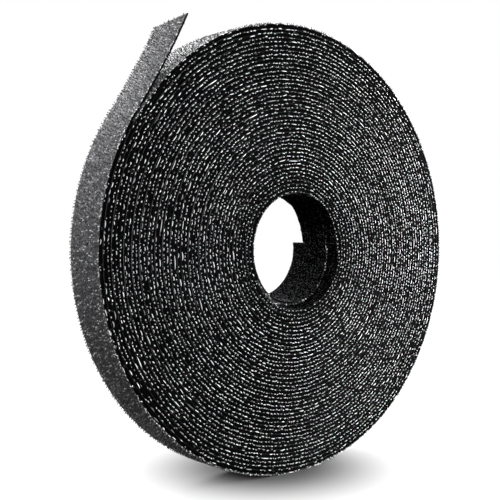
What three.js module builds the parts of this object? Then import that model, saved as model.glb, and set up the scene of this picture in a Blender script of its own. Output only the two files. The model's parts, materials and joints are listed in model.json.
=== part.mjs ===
// A roll of back-to-back hook and loop tape, standing on its edge.
//
// The tape has two plies, laminated back to back: a hook ply, moulded film with hooks on its outer
// face, and a loop ply, knitted cloth with a brushed pile on its inner face. Both plies are wound
// together on themselves with no core. The outer end stands off the roll as a springy tail, and the
// inner end has come loose from the wall of the bore and curls inwards.
//
// Millimetres, +Z up. The roll's axis runs along Y and its front face looks along -Y. The origin is
// on the floor, under the axis. Angles are in degrees, anticlockwise from +X as seen from the front.

import * as THREE from "three";

// The tape. Each drawn turn stands for nearly two turns of the real tape, which is thinner.
const TAPE_WIDTH = 20;
const HOOK_PLY = 0.9;
const LOOP_PLY = 0.9;
const BOND_LINE = 0.3; // between the backs of the two plies
const TURN_GAP = 0.82; // from the hooks of one turn to the loops of the turn around it

// The winding
const BORE_RADIUS = 22.25; // to the innermost turn that still lies against its neighbour
const WHOLE_TURNS = 23; // from the peel line inwards; the part turn follows from the two angles
const PEEL_ANGLE = 146; // where the tail leaves the roll
const LIFT_ANGLE = 225; // where the inner end leaves the wall of the bore
const FLAT_DEPTH = 0.5; // how far the roll's own weight flattens the outer ply on the floor

// The loose ends. Each is a chain of short lengths that bend at the lines between them.
const TAIL_LENGTH = 42;
const TAIL_SEGMENTS = 3;
const TAIL_CURL = 5.5; // the tail bends away from the roll by this much over its length
const INNER_END_LENGTH = 48.6;
const INNER_END_SEGMENTS = 3;
const INNER_END_LIFT = 5; // the angle at which it leaves the wall of the bore
const INNER_END_CURL = 3.25; // its bend is this much tighter than the bore, in millimetres of radius
const LARGEST_BEND = 30; // at one bending line, either way
const BEND_CLEARANCE = 0.3; // left between two lengths at the largest bend

// How finely the round shapes are divided
const OUTER_TURN_STEPS = 45;
const INNER_TURN_STEPS = 22;
const TAIL_STEPS = 2;
const INNER_END_STEPS = 5;

const tapeThickness = HOOK_PLY + BOND_LINE + LOOP_PLY;
const pitch = tapeThickness + TURN_GAP;
const woundTurns = WHOLE_TURNS + (LIFT_ANGLE - PEEL_ANGLE) / 360;
const bendGap = tapeThickness * Math.tan(THREE.MathUtils.degToRad(LARGEST_BEND / 2)) + BEND_CLEARANCE;

// Where each ply lies, from the loop face of the tape outwards
const LOOP = { name: "loop", from: 0, to: LOOP_PLY };
const HOOK = { name: "hook", from: LOOP_PLY + BOND_LINE, to: tapeThickness };

const materials = {
  hook: new THREE.MeshStandardMaterial({ color: 0x4a4a4c, roughness: 0.5, metalness: 0 }),
  loop: new THREE.MeshStandardMaterial({ color: 0x161617, roughness: 0.95, metalness: 0 }),
};

// A strip of tape, as wide as the tape, whose edge is drawn by two lines of points
function stripOnEdge(oneSide, otherSide) {
  const outline = new THREE.Shape([...oneSide, ...otherSide.toReversed()]);
  return new THREE.ExtrudeGeometry(outline, { depth: TAPE_WIDTH, bevelEnabled: false, steps: 1 });
}

function plyMesh(name, ply, geometry) {
  const mesh = new THREE.Mesh(geometry, materials[ply.name]);
  mesh.name = name;
  return mesh;
}

// The winding

// Turns counted inwards from the peel line. The outermost turn, which shows, has finer steps.
function windingStations() {
  const stations = [];
  for (let i = 0; i < OUTER_TURN_STEPS; i++) stations.push(i / OUTER_TURN_STEPS);
  const innerTurns = woundTurns - 1;
  const steps = Math.ceil(innerTurns * INNER_TURN_STEPS);
  for (let i = 0; i <= steps; i++) stations.push(1 + (innerTurns * i) / steps);
  return stations;
}

function pointOnWinding(turn, height) {
  const radius = BORE_RADIUS + pitch * (woundTurns - turn) + height;
  const angle = THREE.MathUtils.degToRad(PEEL_ANGLE) + 2 * Math.PI * turn;
  return new THREE.Vector2(radius * Math.cos(angle), radius * Math.sin(angle));
}

// The least distance from the back of each turn to the face of a turn inside it, on the drawn points
function leastGapToItself(stations, ply) {
  let least = Infinity;
  for (const outer of stations) {
    const back = pointOnWinding(outer, ply.from);
    for (const inner of stations) {
      if (inner - outer < 0.5) continue;
      least = Math.min(least, back.distanceTo(pointOnWinding(inner, ply.to)));
    }
  }
  return least;
}

// The height of the floor, which the lowest of the hooks are pressed against
function floorHeight() {
  const face = windingStations().map((turn) => pointOnWinding(turn, HOOK.to));
  return Math.min(...face.map((point) => point.y)) + FLAT_DEPTH;
}

// A line of points, with what lies below the floor cut off level
function flattenFoot(line, floor) {
  return line.flatMap((point, i) => {
    const next = line[i + 1];
    const kept = point.y >= floor ? [point] : [];
    if (next && point.y >= floor !== next.y >= floor) {
      kept.push(point.clone().lerp(next, (floor - point.y) / (next.y - point.y)));
    }
    return kept;
  });
}

function winding(ply, floor) {
  const stations = windingStations();
  const gap = leastGapToItself(stations, ply);
  console.log(`${ply.name}_winding: ${woundTurns.toFixed(2)} turns, least gap to itself ${gap.toFixed(2)} mm`);
  const face = stations.map((turn) => pointOnWinding(turn, ply.to));
  const back = stations.map((turn) => pointOnWinding(turn, ply.from));
  return stripOnEdge(flattenFoot(face, floor), back);
}

// The loose ends

// One length of an end, in its own frame: it starts at its bending line, on the middle of the tape,
// runs along +x and bends towards +y. Its ply lies between two distances from the middle, along +y.
function bentLength(bendRadius, length, isLast, low, high, steps) {
  const start = bendGap / 2;
  const end = isLast ? length : length - bendGap / 2;
  const line = (height) =>
    Array.from({ length: steps + 1 }, (_, i) => {
      const turn = (start + ((end - start) * i) / steps) / bendRadius;
      const radius = bendRadius - height;
      return new THREE.Vector2(radius * Math.sin(turn), bendRadius - radius * Math.cos(turn));
    });
  return stripOnEdge(line(low), line(high));
}

// A chain of lengths from a place on the roll, each carried by the one before it
function looseEnd({ name, place, heading, length, segments, bendRadius, hookSide, steps }) {
  const share = length / segments;
  const turn = share / bendRadius;
  const first = new THREE.Group();
  first.rotation.z = heading;
  first.position.set(
    place.x + (bendGap / 2) * Math.cos(heading),
    place.y + (bendGap / 2) * Math.sin(heading),
    0,
  );
  let carrier = first;
  for (let i = 1; i <= segments; i++) {
    const isLast = i === segments;
    carrier.name = `${name}_line_${i}`;
    for (const ply of [HOOK, LOOP]) {
      const near = ply.from - tapeThickness / 2;
      const far = ply.to - tapeThickness / 2;
      const [low, high] = hookSide > 0 ? [near, far] : [-far, -near];
      const geometry = bentLength(bendRadius, share, isLast, low, high, steps);
      carrier.add(plyMesh(`${name}_${ply.name}_${i}`, ply, geometry));
    }
    if (isLast) break;
    const next = new THREE.Group();
    next.position.set(bendRadius * Math.sin(turn), bendRadius * (1 - Math.cos(turn)), 0);
    next.rotation.z = turn;
    carrier.add(next);
    carrier = next;
  }
  return first;
}

function tail() {
  return looseEnd({
    name: "tail",
    place: pointOnWinding(0, tapeThickness / 2),
    heading: THREE.MathUtils.degToRad(PEEL_ANGLE - 90),
    length: TAIL_LENGTH,
    segments: TAIL_SEGMENTS,
    bendRadius: TAIL_LENGTH / THREE.MathUtils.degToRad(TAIL_CURL),
    hookSide: 1,
    steps: TAIL_STEPS,
  });
}

function innerEnd() {
  return looseEnd({
    name: "inner_end",
    place: pointOnWinding(woundTurns, tapeThickness / 2),
    heading: THREE.MathUtils.degToRad(LIFT_ANGLE + 90 + INNER_END_LIFT),
    length: INNER_END_LENGTH,
    segments: INNER_END_SEGMENTS,
    bendRadius: BORE_RADIUS + tapeThickness / 2 - INNER_END_CURL,
    hookSide: -1,
    steps: INNER_END_STEPS,
  });
}

// The roll, drawn on its front face and then stood on the floor

const floor = floorHeight();

const roll = new THREE.Group();
roll.add(plyMesh("hook_winding", HOOK, winding(HOOK, floor)));
roll.add(plyMesh("loop_winding", LOOP, winding(LOOP, floor)));
roll.add(tail());
roll.add(innerEnd());
roll.rotation.x = Math.PI / 2;
roll.position.set(0, TAPE_WIDTH / 2, -floor);

const part = new THREE.Group();
part.add(roll);

export default part;
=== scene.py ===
"""A roll of black double-sided hook and loop tape, standing on its edge.

The tape has a hook ply, film with moulded hooks, and a loop ply, knitted cloth with a brushed pile. Both are
wound together with no core. Every wound turn is drawn, with the yarn floats along its two edges, the hooks on
the outermost turn and the pile in the bore. The tape is laid out in millimetres, and its meshes and the stage
are in metres.
"""

import json
import math

import bpy
import numpy as np
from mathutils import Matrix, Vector


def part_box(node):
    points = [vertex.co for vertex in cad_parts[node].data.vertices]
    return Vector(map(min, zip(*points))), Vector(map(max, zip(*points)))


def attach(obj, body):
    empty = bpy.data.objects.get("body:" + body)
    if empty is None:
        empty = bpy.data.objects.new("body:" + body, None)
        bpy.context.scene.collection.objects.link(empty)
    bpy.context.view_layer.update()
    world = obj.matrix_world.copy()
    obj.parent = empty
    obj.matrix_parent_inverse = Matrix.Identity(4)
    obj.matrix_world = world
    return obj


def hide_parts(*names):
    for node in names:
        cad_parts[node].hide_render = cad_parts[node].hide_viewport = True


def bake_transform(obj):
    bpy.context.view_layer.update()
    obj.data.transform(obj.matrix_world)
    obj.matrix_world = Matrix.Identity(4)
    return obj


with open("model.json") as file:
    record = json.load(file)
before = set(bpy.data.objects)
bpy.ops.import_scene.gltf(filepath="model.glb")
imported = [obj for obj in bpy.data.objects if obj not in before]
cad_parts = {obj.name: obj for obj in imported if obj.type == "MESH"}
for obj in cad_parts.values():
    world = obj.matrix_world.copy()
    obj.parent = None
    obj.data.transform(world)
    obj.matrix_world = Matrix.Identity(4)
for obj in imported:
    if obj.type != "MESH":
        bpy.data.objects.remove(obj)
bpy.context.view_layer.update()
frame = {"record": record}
rng = np.random.default_rng(15)

MM = 0.001

# The winding, in the plane of the roll: x to the right and z up, from the roll's axis, with angles in degrees
AXIS_HEIGHT = 90.455  # above the floor
PEEL_ANGLE = 146.0  # where the tail leaves the roll
LIFT_ANGLE = 225.0  # where the inner end leaves the wall of the bore
OUTER_MIDDLE = 91.10  # radius of the tape's middle at the peel line
BORE_MIDDLE = 23.30  # and at the lift line
WHOLE_TURNS = 42
TURNS = WHOLE_TURNS + (LIFT_ANGLE - PEEL_ANGLE) / 360
PITCH = (OUTER_MIDDLE - BORE_MIDDLE) / TURNS
DIP_RATE = 5  # a turn dips at its end so many times as fast as it came to stand out
SLACK_FADE = 8  # the turns over which that fades inwards
WANDER = ((0.10, 143.0, 0.0), (0.07, 31.7, 1.0), (0.04, 9.3, 2.0))  # height, length to a radian, phase
SAG = 0.9  # how far the floor presses the lowest turn up
SAG_POWER = 6  # how soon that fades further up
FLOOR_GAP = 0.02  # the least height above the floor at which a point is drawn

# Lengths along the tape, from the peel line inwards
WOUND_LENGTH = 2 * math.pi * (OUTER_MIDDLE * TURNS - PITCH * TURNS**2 / 2)
OUTER_TURN = 2 * math.pi * OUTER_MIDDLE  # where the outermost turn ends
LINING_RADIUS = BORE_MIDDLE + 2  # a little over the innermost turn's own, so that it goes all round
INNER_TURN = WOUND_LENGTH - 2 * math.pi * LINING_RADIUS  # where the innermost turn starts
BEND_LINE = 0.43  # from an end of the winding to the first bending line
TAIL_LENGTH = 42.0
INNER_END_LENGTH = 49.3
TAPE_START = -BEND_LINE - TAIL_LENGTH
TAPE_END = WOUND_LENGTH + BEND_LINE + INNER_END_LENGTH

# The loose ends, each of which has as many bending lines as segments
SEGMENTS = 3
TAIL_CURL = 8.0  # the tail bends away from the roll by this angle over its length
CUT_SKEW = 2.3  # the tail's end was cut askew, shorter by this much at the back
SKEW_REACH = 12.0  # the length of tail that is drawn shorter towards the back for it
INNER_END_LIFT = 5.0  # the angle at which the inner end leaves the wall of the bore
INNER_END_RADIUS = 19.7
FLAP_LEAN = (0.1, 1.6)  # how far the middle of the inner end leans inwards, in front and at the back
BORE_BULGE = (1.2, 2.5)  # how far the innermost turn stands off its neighbour, in front and at the back
BULGE_ARC = (-16.0, 8.0, 50.0)  # the angles at which it starts to, does so most and lies flat again
BULGE_TURN = 0.62  # about the part of a turn from the second of these to the lift line
BULGE_FADE = 0.9  # the turns over which the bulge fades outwards

# The tape, through its thickness: the bond between the plies is at 0, the hooks are on the positive side
HALF_WIDTH = (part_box("hook_winding")[1].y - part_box("hook_winding")[0].y) / MM / 2
FILM = (0.02, 0.30)
HOOK_TIP = 0.76
CLOTH = (-0.32, -0.02)
NAP = (-0.49, CLOTH[0])  # the close nap from which the loops of the pile stand out
PACKED_PILE = (0.34 - PITCH, CLOTH[0])  # the pile between one turn and the film of the turn inside it
FILM_SHORT = 0.25  # the film ends so far short of the cloth at the tip of a loose end


def bending_lines(name):
    """Where the bending lines of a loose end lie, in the plane of the roll."""
    places = {j["name"]: j["pos_m"] for j in frame["record"]["behaviour"]["joints"]}
    lines = [places[f"{name}_bend_{i}"] for i in range(1, SEGMENTS + 1)]
    return [np.array([x / MM, z / MM - AXIS_HEIGHT]) for x, _, z in lines]


def ray(degrees):
    """Unit vectors at angles that run anticlockwise from x, seen from the front."""
    angle = np.radians(degrees)
    return np.stack([np.cos(angle), np.sin(angle)], -1)


def arc_from(line, heading, radius, distance):
    """A bend to the left: points at distances from a bending line, and the heading at each."""
    turned = distance / radius
    along = radius * np.sin(turned)
    aside = radius * (1 - np.cos(turned))
    points = line + along[:, None] * ray(heading) + aside[:, None] * ray(heading + 90)
    return points, heading + np.degrees(turned)


def slack(turn):
    """How many pitches a turn stands out from an even spiral.

    The outer turns keep their radius, then dip under the turn around them.
    """
    part = turn % 1
    return np.minimum(part, DIP_RATE * (1 - part)) * np.exp(-turn / SLACK_FADE)


def tape(s):
    """The tape's middle at lengths s from the peel line, inwards, and its normals on the hook side.

    The tail has lengths below 0, and the inner end has lengths above WOUND_LENGTH.
    """
    inside = np.clip(s, 0, WOUND_LENGTH)
    turn = (OUTER_MIDDLE - np.sqrt(OUTER_MIDDLE**2 - PITCH * inside / math.pi)) / PITCH
    normals = ray(PEEL_ANGLE + 360 * turn)
    points = (OUTER_MIDDLE - PITCH * (turn - slack(turn)))[:, None] * normals
    tail = s < 0
    radius = TAIL_LENGTH / math.radians(TAIL_CURL)
    points[tail], heading = arc_from(bending_lines("tail")[0], PEEL_ANGLE - 90, radius, -s[tail] - BEND_LINE)
    normals[tail] = ray(heading + 90)
    end = s > WOUND_LENGTH
    points[end], heading = arc_from(
        bending_lines("inner_end")[0],
        LIFT_ANGLE + 90 + INNER_END_LIFT,
        INNER_END_RADIUS,
        s[end] - WOUND_LENGTH - BEND_LINE,
    )
    normals[end] = ray(heading - 90)
    return points, normals


def tape_at(s, across):
    """The tape's middle and normals along one line of its width, from -1, in front, to 1, at the back.

    The tail's end was cut askew. The innermost turn stands off its neighbour, and the inner end leans
    inwards, both more so at the back.
    """
    tip = np.clip((SKEW_REACH - TAIL_LENGTH - s) / SKEW_REACH, 0, 1)
    points, normals = tape(s + CUT_SKEW * tip * (across + 1) / 2)
    turns_left = np.clip(WOUND_LENGTH - s, 0, None) / (2 * math.pi * BORE_MIDDLE)
    angle = np.degrees(np.arctan2(normals[:, 1], normals[:, 0]))
    part = np.interp(angle, BULGE_ARC, (0, 0.5, 1))
    share = np.sin(np.pi * part) ** (2 - part) * np.exp(-turns_left / BULGE_FADE)
    bulge = np.interp(across, (-1, 1), BORE_BULGE) / math.exp(-BULGE_TURN / BULGE_FADE)
    along = np.clip((s - WOUND_LENGTH) / (TAPE_END - WOUND_LENGTH), 0, 1)
    lean = np.interp(across, (-1, 1), FLAP_LEAN) * np.sin(np.pi * along)
    off = np.where(s < WOUND_LENGTH, share * bulge, lean)
    return points - off[:, None] * normals, normals


def wander(s):
    """How far the turns lie to one side or the other, in a roll that was wound by machine."""
    return sum(height * np.sin(s / length + phase) for height, length, phase in WANDER)


def to_world(points, y):
    """Points in the plane of the roll, at depths y, in the frame's metres.

    The lowest turns sag onto the floor.
    """
    x, z = points[..., 0], points[..., 1]
    low = np.clip(-z / OUTER_MIDDLE, 0, 1)
    z = np.maximum(z + SAG * low**SAG_POWER, -AXIS_HEIGHT + FLOOR_GAP)
    return np.stack([x, y, z + AXIS_HEIGHT], -1) * MM


# Meshes

END_FILLET = 0.015  # the cut ends of a strip are rounded by so little
EDGE_FILLET = 0.14  # and its edges by no more than this
ROUND_EDGE = ((1.0, 0.0), (0.7, 0.7), (0.0, 1.0))  # half of one: shares of its height and of its fillet
TUBE_SIDES = 4


def quads_of_tubes(count, rings, sides):
    """Faces of many equal tubes, each a run of rings of points, closed at both ends by strips of quads."""
    i = np.arange(rings - 1)[:, None] * sides
    k = np.arange(sides)[None]
    after = (k + 1) % sides
    wall = np.stack([i + k, i + after, i + sides + after, i + sides + k], -1).reshape(-1, 4)
    pairs = np.arange(sides // 2 - 1)
    cap = np.stack([pairs, pairs + 1, sides - 2 - pairs, sides - 1 - pairs], -1)
    end = cap[:, ::-1] + (rings - 1) * sides
    one = np.concatenate([wall, cap[:, ::-1], end[:, ::-1]])
    return (one[None] + np.arange(count)[:, None, None] * rings * sides).reshape(-1, 4)


def ribbon(s, low, high, recess, bump):
    """A flat strip of the tape with round edges, between two heights in its thickness.

    Its edges lie inside the tape's by the recess, and are uneven by the bump.
    """
    s = np.concatenate([s[:1], s[:1] + END_FILLET, s[1:-1], s[-1:] - END_FILLET, s[-1:]])
    lines = {side: tape_at(s, side) for side in (-1, 1)}
    middle, half = (low + high) / 2, (high - low) / 2
    front = [(middle + half * height, reach) for height, reach in ROUND_EDGE]
    profile = [(h, -1, b) for h, b in front] + [(2 * middle - h, -1, b) for h, b in front[-2::-1]]
    profile = profile + [(h, 1, b) for h, _, b in profile[::-1]]
    rows = []
    for h, side, out in profile:
        jitter = bump * rng.standard_normal(len(s))
        reach = HALF_WIDTH - recess - min(half, EDGE_FILLET) * (1 - out) + jitter * out
        points, normals = lines[side]
        rows.append(to_world(points + h * normals, side * reach + wander(s)))
    return np.stack(rows, 1).reshape(-1, 3), quads_of_tubes(1, len(s), len(profile))


def tubes(paths, radius, across, flat=1.0):
    """Thin tubes along many short paths.

    The paths are arrays of points, and across holds a vector for each path that no part of it runs along.
    Flat tubes are thinner that way.
    """
    count, rings, _ = paths.shape
    run = np.gradient(paths, axis=1)
    run /= np.linalg.norm(run, axis=-1, keepdims=True)
    one = np.cross(run, across[:, None])
    one /= np.linalg.norm(one, axis=-1, keepdims=True)
    other = np.cross(run, one)
    angle = 2 * np.pi * np.arange(TUBE_SIDES) / TUBE_SIDES
    ring = one[:, :, None] * np.cos(angle)[:, None] + flat * other[:, :, None] * np.sin(angle)[:, None]
    points = paths[:, :, None] + np.broadcast_to(radius, (count, rings))[:, :, None, None] * ring
    return points.reshape(-1, 3), quads_of_tubes(count, rings, TUBE_SIDES)


def make_piece(name, materials, parts):
    """A mesh piece from parts, each of which is points, faces and the number of its material."""
    points = np.concatenate([p for p, _, _ in parts])
    starts = np.cumsum([0] + [len(p) for p, _, _ in parts[:-1]])
    faces = np.concatenate([f + at for (_, f, _), at in zip(parts, starts)])
    slots = np.concatenate([np.full(len(f), m) for _, f, m in parts])
    mesh = bpy.data.meshes.new(name)
    mesh.vertices.add(len(points))
    mesh.vertices.foreach_set("co", points.astype(np.float32).ravel())
    mesh.loops.add(4 * len(faces))
    mesh.loops.foreach_set("vertex_index", faces.astype(np.int32).ravel())
    mesh.polygons.add(len(faces))
    mesh.polygons.foreach_set("loop_start", 4 * np.arange(len(faces), dtype=np.int32))
    mesh.polygons.foreach_set("material_index", slots.astype(np.int32))
    for material in materials:
        mesh.materials.append(material)
    mesh.update(calc_edges=True)
    mesh.validate()
    mesh.shade_smooth()
    piece = bpy.data.objects.new(name, mesh)
    bpy.context.scene.collection.objects.link(piece)
    return piece


# What stands on the plies


def placed(s, y, along, up, aside):
    """Paths in the frame's metres, from distances along the tape, above its bond line and across it."""
    points, normals = tape_at(s, y / HALF_WIDTH)
    runs = np.stack([-normals[:, 1], normals[:, 0]], -1)
    flat = points[:, None] + along[..., None] * runs[:, None] + up[..., None] * normals[:, None]
    return to_world(flat, y[:, None] + aside)


def across_paths(count):
    """The direction of the tape's width, for each of so many paths."""
    return np.broadcast_to(np.array([0.0, 1.0, 0.0]), (count, 3))


HOOK_ROWS = 15
HOOK_SPACING = 1.2
HOOK_MARGIN = 0.4  # from the edge of the tape to the outer rows
HOOK_INSET = 0.2  # no hook stands closer to the edge than this
HOOK_SCATTER = 0.2  # how far the hooks stand from even rows
HOOK_TWIST = 0.5  # how far they are turned, in radians
HOOK_SPREAD = 0.1  # how far their sizes differ
HOOK_FREE_TIP = 0.45  # no hook stands closer to the tip of a loose end than this
HOOK_ROOT = 0.03  # how deep they start in the film
HOOK_PROFILE = np.array(  # the reach and height of points along a hook
    [[-0.05, 0.0], [-0.03, 0.24], [0.05, 0.40], [0.20, 0.46], [0.31, 0.34]]
)
HOOK_RADII = np.array([0.13, 0.12, 0.18, 0.23, 0.14])  # stouter than real ones, so that each shows


def hooks(start, end):
    """Moulded hooks in staggered rows, which lean one way and the other in turn."""
    columns = np.arange(start, end, HOOK_SPACING)
    rows = (np.arange(HOOK_ROWS) - (HOOK_ROWS - 1) / 2) * 2 * (HALF_WIDTH - HOOK_MARGIN) / (HOOK_ROWS - 1)
    s = (columns[:, None] + HOOK_SPACING / 2 * (np.arange(HOOK_ROWS) % 2)[None]).ravel()
    y = np.broadcast_to(rows, (len(columns), HOOK_ROWS)).ravel()
    lean = np.broadcast_to(1 - 2 * (np.arange(HOOK_ROWS) % 2), (len(columns), HOOK_ROWS)).ravel()
    s = s + rng.normal(0, HOOK_SCATTER, len(s))
    y = y + rng.normal(0, HOOK_SCATTER, len(s))
    y = np.clip(y, HOOK_INSET - HALF_WIDTH, HALF_WIDTH - HOOK_INSET) + wander(s)
    keep = (s > max(start, TAPE_START + HOOK_FREE_TIP)) & (s < min(end, TAPE_END - HOOK_FREE_TIP))
    s, y, lean = s[keep], y[keep], lean[keep]
    turn = rng.normal(0, HOOK_TWIST, len(s))
    size = rng.normal(1, HOOK_SPREAD, len(s))[:, None]
    reach = lean[:, None] * HOOK_PROFILE[None, :, 0] * size
    height = HOOK_PROFILE[None, :, 1] * size * (HOOK_TIP - FILM[1]) / HOOK_PROFILE[:, 1].max()
    rise = FILM[1] - HOOK_ROOT + height
    paths = placed(s, y, reach * np.cos(turn)[:, None], rise, reach * np.sin(turn)[:, None])
    return tubes(paths, HOOK_RADII[None] * size * MM, across_paths(len(s)))


WALL_LOOPS = 1.4  # to the square millimetre, on the wall of the bore
END_LOOPS = 2.4  # and on the loose ends, where no turn has pressed the pile flat
LOOP_RADIUS = 0.035  # thicker than real filament, so that the nap shows
LOOP_INSET = 0.2  # from the edge of the tape
LOOP_HALF_WIDTHS = (0.25, 0.5)
LOOP_HEIGHTS = (0.20, 0.42)
LOOP_LEAN = 0.25
LOOP_ROOT = 0.03  # how deep they start in the cloth
LOOP_TWIST = 0.3  # how far their sections are turned at random


def pile_loops(start, end, density):
    """The brushed pile: small loops of filament that lean every way."""
    count = int((end - start) * 2 * HALF_WIDTH * density)
    s = rng.uniform(start, end, count)
    y = rng.uniform(LOOP_INSET - HALF_WIDTH, HALF_WIDTH - LOOP_INSET, count)
    angle = np.linspace(0, np.pi, 6)[None]
    facing = rng.uniform(0, 2 * np.pi, count)[:, None]
    half = rng.uniform(*LOOP_HALF_WIDTHS, count)[:, None]
    tall = rng.uniform(*LOOP_HEIGHTS, count)[:, None]
    lean = rng.normal(0, LOOP_LEAN, count)[:, None]
    flat = -half * np.cos(angle)
    tip = np.sin(angle)
    along = flat * np.cos(facing) - lean * tip * np.sin(facing)
    aside = flat * np.sin(facing) + lean * tip * np.cos(facing)
    paths = placed(s, y, along, CLOTH[0] + LOOP_ROOT - tall * tip, aside)
    return tubes(paths, LOOP_RADIUS * MM, across_paths(count) + rng.normal(0, LOOP_TWIST, (count, 3)))


FLOAT_LENGTH = (0.7, 0.6)  # the middle value, and the spread of its logarithm
FLOAT_LIMITS = (0.35, 5.0)
FLOAT_GAP = (0.82, 0.6)  # and so for the gaps between them
GAP_LIMITS = (0.2, 5.0)
FLOAT_DRAW = 1.2  # sizes are drawn for one float to so much of the edge, which is more than have room
FLOAT_SPARE = 20  # and for so many more
BORE_FLOATS = 0.4  # the floats around the bore have this share of their length
BORE_REACH = 1000  # and start to get shorter this far before the lift line
END_FLOAT = 0.8  # the shortest on the inner end, where each shows as a speck
BARE_OUTSIDE = 0.7  # the share that is missing at the peel line
BARE_REACH = 700  # the length of tape over which that fades, both ways
BARE_TAIL = 0.22  # the share that is missing on the tail besides
BARE_INNER_END = 0.7  # and on the inner end
BARE_BEFORE = 20  # and on this last length of the winding before it
FLOAT_RADIUS = 0.165  # stouter than real yarn, so that the dashes show
FLOAT_RADII = (0.6, 1.2)  # the range of their radii, in shares of that
FLOAT_FLATNESS = 0.6
FLOAT_TAPER = 0.55  # their ends are thinner by this share
FLOAT_SCATTER = 0.17  # how far they lie from the bond line
FLOAT_SLOPE = 0.10
FLOAT_BOW = (0.10, 0.06)  # how far their middles stand out of the edge, and its spread
FLOAT_TUCK = 0.16  # how deep their ends are tucked into it


def edge_floats(start, end, side):
    """Floats of yarn along one edge of the tape, with uneven lengths and gaps.

    The outermost turns have fewer, and those around the bore are short.
    """
    count = int((end - start) / FLOAT_DRAW) + FLOAT_SPARE
    length = np.clip(FLOAT_LENGTH[0] * np.exp(rng.normal(0, FLOAT_LENGTH[1], count)), *FLOAT_LIMITS)
    gap = np.clip(FLOAT_GAP[0] * np.exp(rng.normal(0, FLOAT_GAP[1], count)), *GAP_LIMITS)
    s = start + np.cumsum(length + gap) - length / 2
    shortest = np.where(s > WOUND_LENGTH, END_FLOAT, FLOAT_LIMITS[0])
    length = np.maximum(length * np.clip((WOUND_LENGTH - s) / BORE_REACH, BORE_FLOATS, 1), shortest)
    bare = BARE_OUTSIDE * np.exp(-np.abs(s) / BARE_REACH)
    bare = bare + BARE_TAIL * (s < 0) + BARE_INNER_END * (s > WOUND_LENGTH - BARE_BEFORE)
    keep = (s + length / 2 < end) & (rng.random(count) > bare)
    s, length = s[keep], length[keep]
    shape = np.linspace(-1, 1, 5)[None]
    along = shape * length[:, None] / 2
    level = rng.normal(0.0, FLOAT_SCATTER, len(s))[:, None]
    up = level + rng.normal(0, FLOAT_SLOPE, len(s))[:, None] * shape
    out = rng.normal(*FLOAT_BOW, len(s))[:, None] * (1 - shape**2) - FLOAT_TUCK * shape**4
    y = side * HALF_WIDTH + wander(s)
    paths = placed(s, y, along, up, side * out)
    taper = 1 - FLOAT_TAPER * np.abs(shape) ** 3
    radius = FLOAT_RADIUS * rng.uniform(*FLOAT_RADII, len(s))[:, None] * taper * MM
    return tubes(paths, radius, across_paths(len(s)), flat=FLOAT_FLATNESS)


THREAD_SLOPE = 0.5  # how far short threads turn from the tape's run, in radians
THREAD_SLANT = 0.2  # and how far they slant out of the edge


def short_threads(s, inwards, up, side, length, radius):
    """Short straight threads near one edge of the tape, at heights in its thickness."""
    count = len(s)
    shape = np.linspace(-1, 1, 3)[None] * length[:, None] / 2
    slope = rng.normal(0, THREAD_SLOPE, count)[:, None]
    y = side * (HALF_WIDTH - inwards) + wander(s)
    aside = rng.normal(0, THREAD_SLANT, count)[:, None] * shape
    paths = placed(s, y, shape * np.cos(slope), up[:, None] + shape * np.sin(slope), aside)
    return tubes(paths, radius * MM, across_paths(count))


LINT_SPACING = 2.0
LINT_DEPTH = 0.5  # from the edge of the tape inwards
LINT_HEIGHTS = (0.4 - PITCH, CLOTH[0])  # from just off the film of the turn inside to the cloth
LINT_LENGTHS = (0.3, 1.1)
LINT_RADIUS = 0.08  # thicker than real filament, so that it shows


def edge_lint(start, end, side):
    """Ends of the pile's filaments, which stand out between one turn and the next.

    On the wall of the bore, which no turn covers, they stay within the nap.
    """
    count = int((end - start) / LINT_SPACING)
    s = rng.uniform(start, end, count)
    inwards = rng.uniform(0.0, LINT_DEPTH, count)
    up = rng.uniform(*LINT_HEIGHTS, count)
    up = np.where(s > INNER_TURN, np.maximum(up, NAP[0]), up)
    return short_threads(s, inwards, up, side, rng.uniform(*LINT_LENGTHS, count), LINT_RADIUS)


SPECK_SPACING = 1.3
SPECK_DEPTH = 0.4  # from the edge of the tape inwards, on average
SPECK_HEIGHTS = (0.35, 0.6)
SPECK_LENGTHS = (0.3, 0.8)
SPECK_RADIUS = 0.13  # stouter than real yarn too


def corner_specks(start, end, side):
    """Ends of yarn along the corner of the hook face."""
    count = int((end - start) / SPECK_SPACING)
    s = rng.uniform(start, end, count)
    inwards = rng.exponential(SPECK_DEPTH, count)
    up = rng.uniform(*SPECK_HEIGHTS, count)
    return short_threads(s, inwards, up, side, rng.uniform(*SPECK_LENGTHS, count), SPECK_RADIUS)


# Materials

SPOT_NOISE = (0.35, 0.65)  # the part of the noise's range that the tones are spread over
EDGE_TURN = 0.3  # a surface turned this far to the side has the whole tone of a cut edge


def linear(hex_colour):
    """An sRGB hex colour as linear red, green, blue and alpha."""
    channels = [int(hex_colour[i : i + 2], 16) / 255 for i in (0, 2, 4)]
    return [c / 12.92 if c <= 0.04045 else ((c + 0.055) / 1.055) ** 2.4 for c in channels] + [1.0]


def add_node(tree, kind, settings=None, **links):
    """Adds a node. Settings are its own properties, and links give each input a socket or a value.

    An input is named with _ for a space, or by its number after a _.
    """
    node = tree.nodes.new(kind)
    for key, value in (settings or {}).items():
        setattr(node, key, value)
    for key, value in links.items():
        socket = node.inputs[int(key[1:]) if key[0] == "_" else key.replace("_", " ")]
        if isinstance(value, bpy.types.NodeSocket):
            tree.links.new(value, socket)
        else:
            socket.default_value = value
    return node


def new_material(name):
    """An empty material, and its tree of nodes."""
    material = bpy.data.materials.new(name)
    material.use_nodes = True
    material.node_tree.nodes.clear()
    return material, material.node_tree


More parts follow.
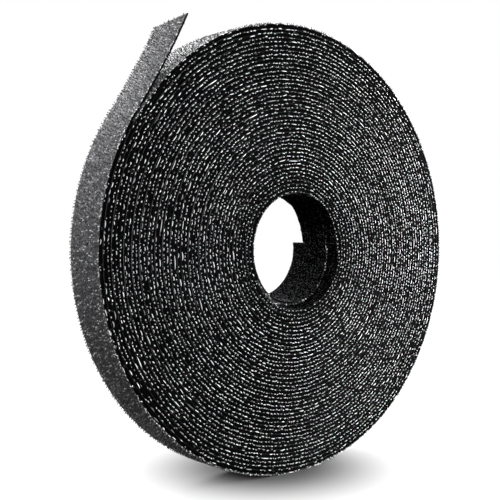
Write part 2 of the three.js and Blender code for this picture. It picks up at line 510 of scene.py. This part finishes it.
def toned(name, tones, roughness, specular, spot_mm=None, cut_edge=None):
    """A material with a ramp of tones, in spots of a real size or dealt out among the bits of a piece.

    The cut edges of the tape may have a tone of their own.
    """
    material, tree = new_material(name)
    geometry = add_node(tree, "ShaderNodeNewGeometry")
    spread = geometry.outputs["Random Per Island"]
    if spot_mm:
        place = add_node(tree, "ShaderNodeTexCoord").outputs["Object"]
        scale = 1 / (spot_mm * MM)
        noise = add_node(tree, "ShaderNodeTexNoise", Vector=place, Scale=scale, Detail=3.0)
        spread = add_node(
            tree,
            "ShaderNodeMapRange",
            Value=noise.outputs["Fac"],
            From_Min=SPOT_NOISE[0],
            From_Max=SPOT_NOISE[1],
        ).outputs["Result"]
    ramp = add_node(tree, "ShaderNodeValToRGB", Fac=spread)
    while len(ramp.color_ramp.elements) < len(tones):
        ramp.color_ramp.elements.new(0.5)
    for element, (position, colour) in zip(ramp.color_ramp.elements, tones):
        element.position = position
        element.color = linear(colour)
    colour = ramp.outputs["Color"]
    if cut_edge:
        axes = add_node(tree, "ShaderNodeSeparateXYZ", Vector=geometry.outputs["True Normal"])
        sideways = add_node(tree, "ShaderNodeMath", {"operation": "ABSOLUTE"}, _0=axes.outputs["Y"])
        at_edge = add_node(tree, "ShaderNodeMapRange", Value=sideways.outputs[0], From_Max=EDGE_TURN)
        colour = add_node(
            tree,
            "ShaderNodeMixRGB",
            Fac=at_edge.outputs["Result"],
            Color1=colour,
            Color2=linear(cut_edge),
        ).outputs["Color"]
    shader = add_node(
        tree,
        "ShaderNodeBsdfPrincipled",
        Base_Color=colour,
        Roughness=roughness,
        Specular_IOR_Level=specular,
    )
    add_node(tree, "ShaderNodeOutputMaterial", Surface=shader.outputs["BSDF"])
    return material


# Film in a mottled grey, a dull ground with no gloss. Its face is lighter than the tape's own black, partly
# as painted sheen for the light the hooks catch on the rim. Its cut edges, where the slitting knife cut it,
# keep the tape's black
film_material = toned(
    "polypropylene_film_painted_sheen",
    [(0, "242426"), (1, "868688")],
    roughness=0.5,
    specular=0.015,
    spot_mm=0.7,
    cut_edge="030303",
)
# Black hooks whose tones run up to white at random: the pale ones are painted glints for the light they catch
# on their round backs, so the rim sparkles in grains, no two alike
hook_material = toned(
    "polypropylene_hooks_painted_glints",
    [(0, "202022"), (0.5, "444446"), (0.75, "a8a8aa"), (1, "ffffff")],
    roughness=0.35,
    specular=0.15,
)
# Black knitted cloth that swallows nearly all light, so the turns stand apart as dark lines
cloth_material = toned(
    "nylon_cloth_knitted",
    [(0, "030303"), (1, "080809")],
    roughness=0.85,
    specular=0.0,
    spot_mm=0.5,
)
# The brushed loops show as a faint grey nap on the wall of the bore
pile_material = toned(
    "nylon_pile_brushed",
    [(0, "222223"), (0.7, "525254"), (1, "8a8a8c")],
    roughness=0.9,
    specular=0.0,
)
# Pale floats of yarn that the knife left along the edges, whose tones up to white are partly the yarn's own
# pale tone and partly painted glints: the bright dashes of the roll's face
yarn_material = toned(
    "nylon_yarn_pale_painted_glints",
    [(0, "7c7c7e"), (0.3, "f0f0f2"), (1, "ffffff")],
    roughness=0.5,
    specular=0.1,
)
# Loose ends of filament, mostly dark, which break up the black between the dashes
lint_material = toned(
    "nylon_filament_slit",
    [(0, "060607"), (0.6, "18181a"), (1, "888889")],
    roughness=0.7,
    specular=0.02,
)

# The pieces

STEP = 1.2  # between the stations of a ply in the winding
PACKED_STEP = 3.0  # of the pile between its turns
NAP_STEP = 2.0  # of the nap in the bore
END_STEP = 0.6  # and of all layers of a loose end
JOIN = 5.0  # the winding's own pieces start so far inside the peel line and end so far short of the lift line
FILM_RECESS = 0.05  # from the edge of the tape to the edge of each layer
PACKED_RECESS = 0.08
CLOTH_RECESS = 0.1
NAP_RECESS = 0.25
LAST_STRIP = 1.5  # the last strip of a loose end is so many of its segments long


def stations(start, end, step):
    """Lengths along the tape from start to end, in even steps of about the size given."""
    return np.linspace(start, end, max(2, int(abs(end - start) / step) + 1))


def settle(piece, node):
    """Sets a piece of the winding on the roll, in place of a node."""
    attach(piece, "roll")
    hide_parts(node)


def lengths_between(start, end, count):
    """The start and end of each of so many equal lengths, numbered from 1."""
    cuts = np.linspace(start, end, count + 1)
    return enumerate(zip(cuts[:-1], cuts[1:]), 1)


def wound_pieces():
    """The plies of the winding, and what stands on them where it shows."""
    wound_end = WOUND_LENGTH - JOIN
    for i, (start, end) in lengths_between(JOIN, wound_end, 2):
        film = ribbon(stations(start, end, STEP), *FILM, recess=FILM_RECESS, bump=0.05)
        settle(make_piece(f"hook_film_{i}", [film_material], [(*film, 0)]), "hook_winding")
        cloth = ribbon(stations(start, end, STEP), *CLOTH, recess=CLOTH_RECESS, bump=0.06)
        settle(make_piece(f"loop_cloth_{i}", [cloth_material], [(*cloth, 0)]), "loop_winding")
    packed = ribbon(stations(JOIN, INNER_TURN, PACKED_STEP), *PACKED_PILE, recess=PACKED_RECESS, bump=0.12)
    nap = ribbon(stations(INNER_TURN, wound_end, NAP_STEP), *NAP, recess=NAP_RECESS, bump=0.08)
    pile = make_piece("loop_pile_between_turns", [cloth_material], [(*packed, 0), (*nap, 0)])
    settle(pile, "loop_winding")
    loops = pile_loops(INNER_TURN, wound_end, WALL_LOOPS)
    settle(make_piece("loop_pile_in_bore", [pile_material], [(*loops, 0)]), "loop_winding")
    for i, (start, end) in lengths_between(JOIN, OUTER_TURN, 3):
        piece = make_piece(f"hooks_{i}", [hook_material], [(*hooks(start, end), 0)])
        settle(piece, "hook_winding")
    for name, side in (("front", -1), ("back", 1)):
        for i, (start, end) in lengths_between(JOIN, wound_end, 3):
            parts = [(*edge_floats(start, end, side), 0), (*edge_lint(start, end, side), 1)]
            if i == 1:
                parts.append((*corner_specks(start, OUTER_TURN, side), 0))
            piece = make_piece(f"edge_yarn_{name}_{i}", [yarn_material, lint_material], parts)
            settle(piece, "loop_winding")


def loose_end_pieces(name, edges, forwards):
    """The plies of a loose end, in a strip across each bending line.

    Edges are the lengths along the tape between which the strips lie. Forwards is 1 if the end lies further
    along the tape than the winding, and -1 if it lies before it.
    """
    share = abs(edges[-1] - edges[-2]) / LAST_STRIP
    for i in range(SEGMENTS):
        start, end = sorted(edges[i : i + 2])
        s = stations(start, end, END_STEP)
        film_s = np.clip(s, TAPE_START + FILM_SHORT, TAPE_END - FILM_SHORT)
        film = ribbon(film_s, *FILM, recess=FILM_RECESS, bump=0.03)
        cloth = ribbon(s, *CLOTH, recess=CLOTH_RECESS, bump=0.04)
        nap = ribbon(s, *NAP, recess=NAP_RECESS, bump=0.05)
        yarn = [(*edge_floats(start, end, side), 1) for side in (-1, 1)]
        if forwards < 0:
            yarn += [(*corner_specks(start, end, side), 1) for side in (-1, 1)]
        hook_piece = make_piece(
            f"{name}_hook_strip_{i + 1}",
            [film_material, yarn_material, hook_material],
            [(*film, 0), (*hooks(start, end), 2)] + yarn,
        )
        loop_piece = make_piece(
            f"{name}_loop_strip_{i + 1}",
            [cloth_material, pile_material],
            [(*cloth, 0), (*nap, 0), (*pile_loops(start, end, END_LOOPS), 1)],
        )
        at = -BEND_LINE - i * share if forwards < 0 else WOUND_LENGTH + BEND_LINE + i * share
        _, normal = tape(np.array([at]))
        for ply, piece in (("hook", hook_piece), ("loop", loop_piece)):
            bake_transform(piece)
            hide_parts(f"{name}_{ply}_{i + 1}")


def strip_edges(length):
    """Distances from the first bending line at which the strips of a loose end meet, up to its tip."""
    share = length / SEGMENTS
    return [share * (i + 0.5) for i in range(SEGMENTS - 1)] + [length]


wound_pieces()
loose_end_pieces("tail", [JOIN] + [-BEND_LINE - d for d in strip_edges(TAIL_LENGTH)], -1)
loose_end_pieces(
    "inner_end",
    [WOUND_LENGTH - JOIN] + [WOUND_LENGTH + BEND_LINE + d for d in strip_edges(INNER_END_LENGTH)],
    1,
)

# The stage, in metres

FLOOR_HALF = 3.0
PAINTED_SHADOW_MIDDLE = (-0.0045, 0.004, 0)  # the middle of the painted shadow at the roll's foot
PAINTED_SHADOW_REACH = (0.014, 0.064)  # how far from there the floor's white glow starts and is full, which paints the shadow
DOME_LIGHT = 0.08  # the strength of the dome that lights the roll, where the white that shows has 1

scene = bpy.context.scene
scene.view_settings.view_transform = "Standard"


def shown_rays(tree):
    """1 for the rays that show a surface as it is: from the camera, in a reflection or through glass."""
    path = add_node(tree, "ShaderNodeLightPath")
    direct = add_node(
        tree,
        "ShaderNodeMath",
        {"operation": "MAXIMUM"},
        _0=path.outputs["Is Camera Ray"],
        _1=path.outputs["Is Glossy Ray"],
    )
    return add_node(
        tree,
        "ShaderNodeMath",
        {"operation": "MAXIMUM"},
        _0=direct.outputs[0],
        _1=path.outputs["Is Transmission Ray"],
    ).outputs[0]


def make_floor():
    mesh = bpy.data.meshes.new("floor")
    corners = [(x * FLOOR_HALF, y * FLOOR_HALF, 0) for x, y in ((-1, -1), (1, -1), (1, 1), (-1, 1))]
    mesh.from_pydata(corners, [], [(0, 1, 2, 3)])
    floor = bpy.data.objects.new("floor", mesh)
    scene.collection.objects.link(floor)
    # Matt white paper, which shows as plain white apart from a soft grey shadow at the roll's foot: partly
    # the lamps' real shadow on its grey, and partly a painted shadow where its white glow fades out towards
    # the foot
    material, tree = new_material("paper_matt_white")
    place = add_node(tree, "ShaderNodeTexCoord")
    away = add_node(
        tree,
        "ShaderNodeVectorMath",
        {"operation": "DISTANCE"},
        _0=place.outputs["Object"],
        _1=PAINTED_SHADOW_MIDDLE,
    )
    rise = add_node(
        tree,
        "ShaderNodeMapRange",
        {"interpolation_type": "SMOOTHSTEP"},
        Value=away.outputs["Value"],
        From_Min=PAINTED_SHADOW_REACH[0],
        From_Max=PAINTED_SHADOW_REACH[1],
    )
    glow_outside_painted_shadow = add_node(tree, "ShaderNodeEmission", Color=linear("ffffff"), Strength=rise.outputs["Result"])
    paper = add_node(tree, "ShaderNodeBsdfDiffuse", Color=linear("484848"))
    seen = add_node(tree, "ShaderNodeAddShader", _0=paper.outputs[0], _1=glow_outside_painted_shadow.outputs[0])
    dull = add_node(tree, "ShaderNodeBsdfDiffuse", Color=linear("303030"))
    surface = add_node(
        tree,
        "ShaderNodeMixShader",
        _0=shown_rays(tree),
        _1=dull.outputs[0],
        _2=seen.outputs[0],
    )
    add_node(tree, "ShaderNodeOutputMaterial", Surface=surface.outputs[0])
    mesh.materials.append(material)


def make_world():
    world = bpy.data.worlds.new("studio")
    scene.world = world
    world.use_nodes = True
    tree = world.node_tree
    tree.nodes.clear()
    strength = add_node(tree, "ShaderNodeMapRange", Value=shown_rays(tree), To_Min=DOME_LIGHT)
    dome = add_node(tree, "ShaderNodeBackground", Color=linear("ffffff"), Strength=strength.outputs[0])
    add_node(tree, "ShaderNodeOutputWorld", Surface=dome.outputs[0])


def add_lamp(name, place, aim, size, power):
    """A rectangular lamp of a width and a height, which faces what it is aimed at."""
    lamp = bpy.data.lights.new(name, "AREA")
    lamp.shape = "RECTANGLE"
    lamp.size, lamp.size_y = size
    lamp.energy = power
    holder = bpy.data.objects.new(name, lamp)
    holder.location = place
    holder.rotation_euler = (Vector(aim) - Vector(place)).to_track_quat("-Z", "Y").to_euler()
    scene.collection.objects.link(holder)


CAMERA_AZIMUTH = math.radians(-41.41)
CAMERA_ELEVATION = math.radians(1.39)
CAMERA_DISTANCE = 371.5 * MM  # from the middle of the roll
PICTURE_SIZE = 500  # pixels, both ways
FOCAL_PIXELS = 893.1  # the focal length
AHEAD_PIXEL = 281.3  # the column of the picture that lies straight ahead of the camera
SENSOR_WIDTH = 36.0


def make_camera():
    back = Vector(
        (
            math.sin(CAMERA_AZIMUTH) * math.cos(CAMERA_ELEVATION),
            -math.cos(CAMERA_AZIMUTH) * math.cos(CAMERA_ELEVATION),
            math.sin(CAMERA_ELEVATION),
        )
    )
    data = bpy.data.cameras.new("camera")
    data.sensor_width = SENSOR_WIDTH
    data.lens = SENSOR_WIDTH * FOCAL_PIXELS / PICTURE_SIZE
    data.shift_x = (PICTURE_SIZE / 2 - AHEAD_PIXEL) / PICTURE_SIZE
    data.clip_start = 0.01
    camera = bpy.data.objects.new("camera", data)
    camera.location = Vector((0, 0, AXIS_HEIGHT * MM)) + CAMERA_DISTANCE * back
    camera.rotation_euler = (-back).to_track_quat("-Z", "Y").to_euler()
    scene.collection.objects.link(camera)
    scene.camera = camera


make_floor()
make_world()
add_lamp("overhead", place=(0.0, 0.0, 1.0), aim=(0, 0, 0), size=(1.6, 1.6), power=5)
add_lamp("back_key", place=(-0.38, 0.46, 0.86), aim=(0, 0, 0.09), size=(1.2, 0.7), power=15.5)
add_lamp("back", place=(0.22, 0.75, 0.70), aim=(0, 0, 0.16), size=(0.4, 0.4), power=18)
add_lamp("front_left", place=(-0.35, -0.75, 0.60), aim=(0, 0, 0.09), size=(0.6, 0.6), power=4.5)
add_lamp("right", place=(0.16, -0.12, 0.10), aim=(0.08, 0, 0.09), size=(0.15, 0.15), power=1.8)
make_camera()
